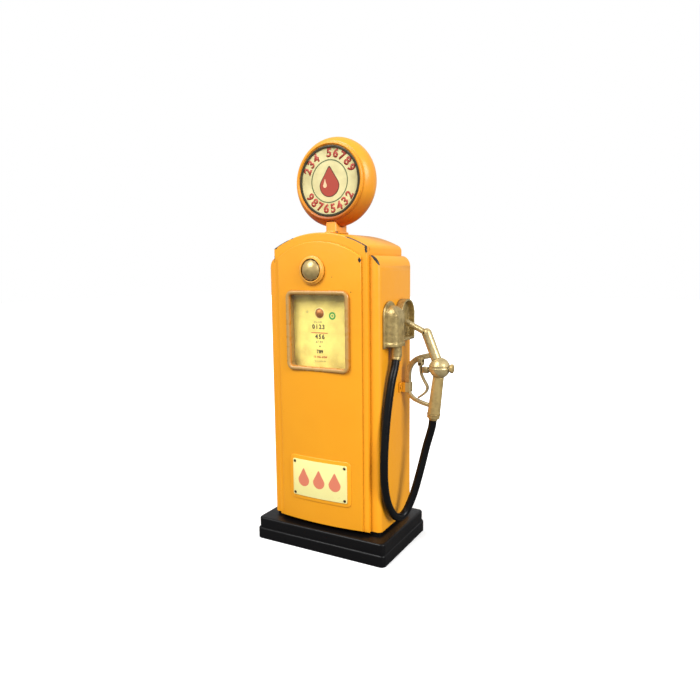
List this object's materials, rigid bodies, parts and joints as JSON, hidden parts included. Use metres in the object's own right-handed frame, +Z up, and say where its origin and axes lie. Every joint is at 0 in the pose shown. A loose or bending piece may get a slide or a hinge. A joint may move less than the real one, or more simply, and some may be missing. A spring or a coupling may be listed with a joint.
{
  "type": "model fuel pump",
  "caption": "Decorative counter-top model of an old fuel pump: tin cabinet on a stepped base, round sign on top, lift-off nozzle with trigger, and a hose.",
  "frame": {"origin": "middle of the underside of the base", "axes": "+Z up, the cabinet faces -Y, the nozzle hangs on the +X side"},
  "size_m": [0.1169, 0.0619, 0.25],
  "materials": {
    "base_black": "satin black paint on pressed tin",
    "bare_steel": "plain zinc-plated steel",
    "cabinet_paint": "warm yellow-orange paint over black primer, chipped at the edges",
    "housing_tin": "dull gold paint",
    "printed_card": "cream printed card under a gloss coat",
    "copper_button": "copper-coloured pressed dome",
    "clear_lens": "clear slightly wavy plastic sheet",
    "bezel_paint": "gold-cream paint, rubbed",
    "sign_enamel": "cream enamel with red print",
    "dark_rivet": "dark aged metal",
    "dark_retainer": "dark olive-brown paint",
    "antique_gold": "antique gold paint over a rough casting, darker in its hollows",
    "hose_rubber": "black rubber with fine ribs"
  },
  "bodies": {
    "cabinet": {"base_plate": "base_black", "base_screws": "bare_steel", "lower_step": "base_black", "upper_step": "base_black", "riser": "base_black", "tie_bolts": "bare_steel", "tie_nuts": "bare_steel", "body_floor": "bare_steel", "body_shell": "cabinet_paint", "back_sheet": "cabinet_paint", "back_screws": "bare_steel", "outer_panel": "cabinet_paint", "inner_panel": "cabinet_paint", "dial_housing": "housing_tin", "dial_card": "printed_card", "dial_button": "copper_button", "dial_lens": "clear_lens", "dial_bezel": "bezel_paint", "lamp_ring": "cabinet_paint", "lamp_dome": "antique_gold", "lamp_nut": "bare_steel", "sign_plate": "sign_enamel", "sign_rivets": "dark_rivet", "globe_neck": "cabinet_paint", "globe_case": "cabinet_paint", "globe_front_dial": "printed_card", "globe_front_ring": "cabinet_paint", "globe_front_retainer": "dark_retainer", "globe_rear_dial": "printed_card", "globe_rear_ring": "cabinet_paint", "globe_rear_retainer": "dark_retainer", "globe_stud": "bare_steel", "globe_nuts": "bare_steel", "outlet_casting": "antique_gold", "nozzle_boot": "antique_gold", "casting_screws": "bare_steel", "outlet_nipple": "antique_gold", "hose_collar": "antique_gold", "guard_clip": "cabinet_paint", "clip_rivets": "cabinet_paint", "hose": "hose_rubber"},
    "nozzle": {"hose_ferrule": "antique_gold", "spout_tube": "antique_gold", "spout_sleeve": "antique_gold", "spout_pin": "dark_rivet", "valve_body": "antique_gold", "valve_cap": "antique_gold", "grip": "antique_gold", "grip_collar": "antique_gold", "guard": "antique_gold", "trigger_pin": "dark_rivet"},
    "trigger": {"trigger": "antique_gold"},
    "stem": {"valve_stem": "antique_gold"}
  },
  "joints": [
    {"name": "nozzle_lift", "type": "slide", "parent": "cabinet", "child": "nozzle", "axis": [0.9, 0, 0.4359], "range_m": [0, 0.03], "deforming": ["hose"]},
    {"name": "trigger_pull", "type": "hinge", "parent": "nozzle", "child": "trigger", "pos_m": [0.0509, 0.01, 0.1146], "axis": [0, -1, 0], "range_deg": [0, 6], "stiffness_Nm_per_rad": 0.01, "springref_deg": -8.59},
    {"name": "stem_push", "type": "slide", "parent": "nozzle", "child": "stem", "axis": [1, 0, 0], "range_m": [0, 0.0004]}
  ],
  "couplings": [
    {"joint": "stem_push", "follows": "trigger_pull", "m_per_rad": 0.0036}
  ]
}
